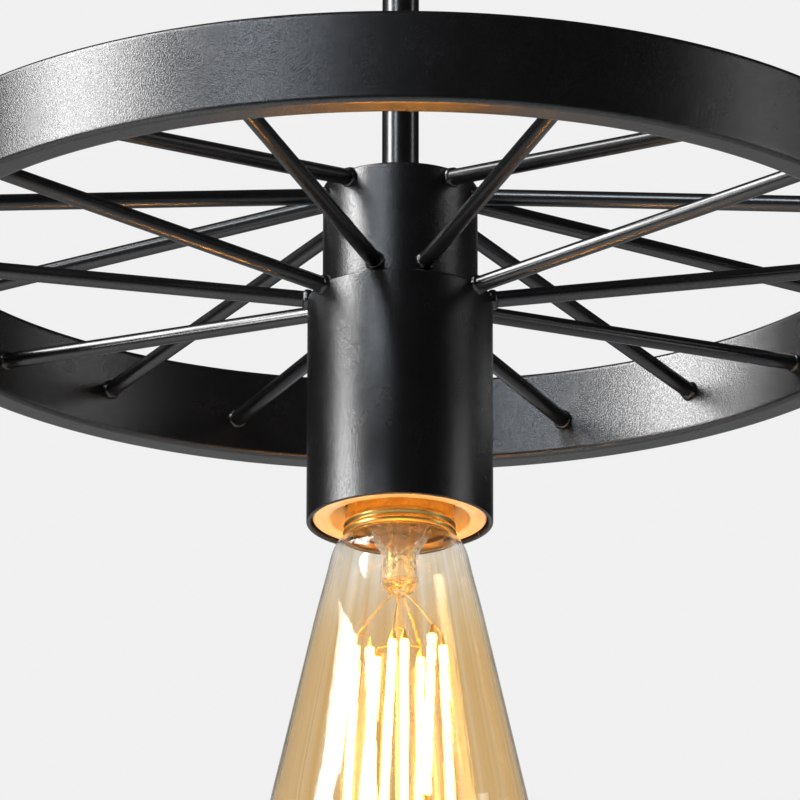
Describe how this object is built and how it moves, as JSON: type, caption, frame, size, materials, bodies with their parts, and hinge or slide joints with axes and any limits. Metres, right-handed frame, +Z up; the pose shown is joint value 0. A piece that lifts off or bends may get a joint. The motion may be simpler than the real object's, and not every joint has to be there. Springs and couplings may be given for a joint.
{
  "type": "bicycle wheel chandelier",
  "caption": "Ceiling light shaped like a bicycle wheel: round rose, rod, spoked steel ring on a stepped hub, and a bare teardrop filament lamp hanging below the hub.",
  "frame": {"origin": "on the ceiling plane, midway between the crossbar's two ceiling slots and on the rod's axis", "axes": "+Z up, out of the crossbar into the ceiling; +X to the right along the crossbar, seen from the front; the front looks along +Y"},
  "size_m": [0.26, 0.26, 0.4256],
  "materials": {
    "black_powder_coat": "black powder coat with a fine orange-peel grain",
    "black_satin": "smooth semi-gloss black paint",
    "zinc_steel": "bright zinc plating",
    "brass": "drawn brass, slightly dulled",
    "solder": "dull solder",
    "porcelain": "cream glaze",
    "amber_glass": "thin blown glass, tinted amber",
    "clear_glass": "clear pressed glass",
    "black_glass": "black glass insulator",
    "filament_glow": "phosphor-coated strip, lit warm white",
    "nickel_wire": "drawn nickel wire",
    "board_green": "lacquered circuit board",
    "wire_brown": "brown insulation",
    "wire_blue": "blue insulation",
    "wire_green_yellow": "green and yellow insulation",
    "nylon_white": "natural nylon"
  },
  "bodies": {
    "frame": {"bottom_nut": "zinc_steel", "bottom_washer": "zinc_steel", "ceiling_rose": "black_powder_coat", "contact_rivets": "brass", "crossbar": "zinc_steel", "earth_screw": "zinc_steel", "earth_wire": "wire_green_yellow", "holder_strap": "zinc_steel", "holder_strap_screws": "zinc_steel", "holder_terminal_screws": "zinc_steel", "holder_terminals": "brass", "hub_drum": "black_powder_coat", "lamp_cup": "black_powder_coat", "live_wire": "wire_brown", "neutral_wire": "wire_blue", "porcelain_body": "porcelain", "rod": "black_satin", "rod_collar": "black_satin", "rose_cap_nuts": "black_satin", "rose_lock_nuts": "zinc_steel", "rose_screws": "zinc_steel", "screw_shell": "brass", "spoke_high_01": "black_satin", "spoke_high_02": "black_satin", "spoke_high_03": "black_satin", "spoke_high_04": "black_satin", "spoke_high_05": "black_satin", "spoke_high_06": "black_satin", "spoke_high_07": "black_satin", "spoke_high_08": "black_satin", "spoke_low_01": "black_satin", "spoke_low_02": "black_satin", "spoke_low_03": "black_satin", "spoke_low_04": "black_satin", "spoke_low_05": "black_satin", "spoke_low_06": "black_satin", "spoke_low_07": "black_satin", "spoke_low_08": "black_satin", "spoke_low_09": "black_satin", "spoke_low_10": "black_satin", "terminal_block": "nylon_white", "terminal_block_screw": "zinc_steel", "terminal_clamp_screws": "zinc_steel", "terminal_clamps": "brass", "top_nut": "zinc_steel", "top_washer": "zinc_steel", "wheel_ring": "black_powder_coat"},
    "contact_leaf": {"centre_contact": "brass"},
    "lamp_carriage": {"lamp_insulator": "black_glass", "lamp_tip_contact": "solder"},
    "lamp": {"lamp_cap": "brass", "lamp_glass": "amber_glass", "lamp_mount": "clear_glass", "driver_board": "board_green", "lamp_leads": "nickel_wire", "lamp_filaments": "filament_glow", "lamp_filament_ends": "nickel_wire", "lamp_support_wires": "nickel_wire"}
  },
  "joints": [
    {"name": "contact_flex", "type": "hinge", "parent": "frame", "child": "contact_leaf", "pos_m": [-0.0111, 0, -0.28505], "axis": [0, -1, 0], "range_deg": [0, 4], "stiffness_Nm_per_rad": 0.4},
    {"name": "lamp_slide", "type": "slide", "parent": "frame", "child": "lamp_carriage", "axis": [0, 0, -1], "range_m": [0, 0.0127]},
    {"name": "lamp_turn", "type": "hinge", "parent": "lamp_carriage", "child": "lamp", "pos_m": [0, 0, -0.3146], "axis": [0, 0, -1], "range_deg": [0, 1260]}
  ],
  "couplings": [
    {"joint": "lamp_slide", "follows": "lamp_turn", "m_per_rad": 0.00057615}
  ]
}
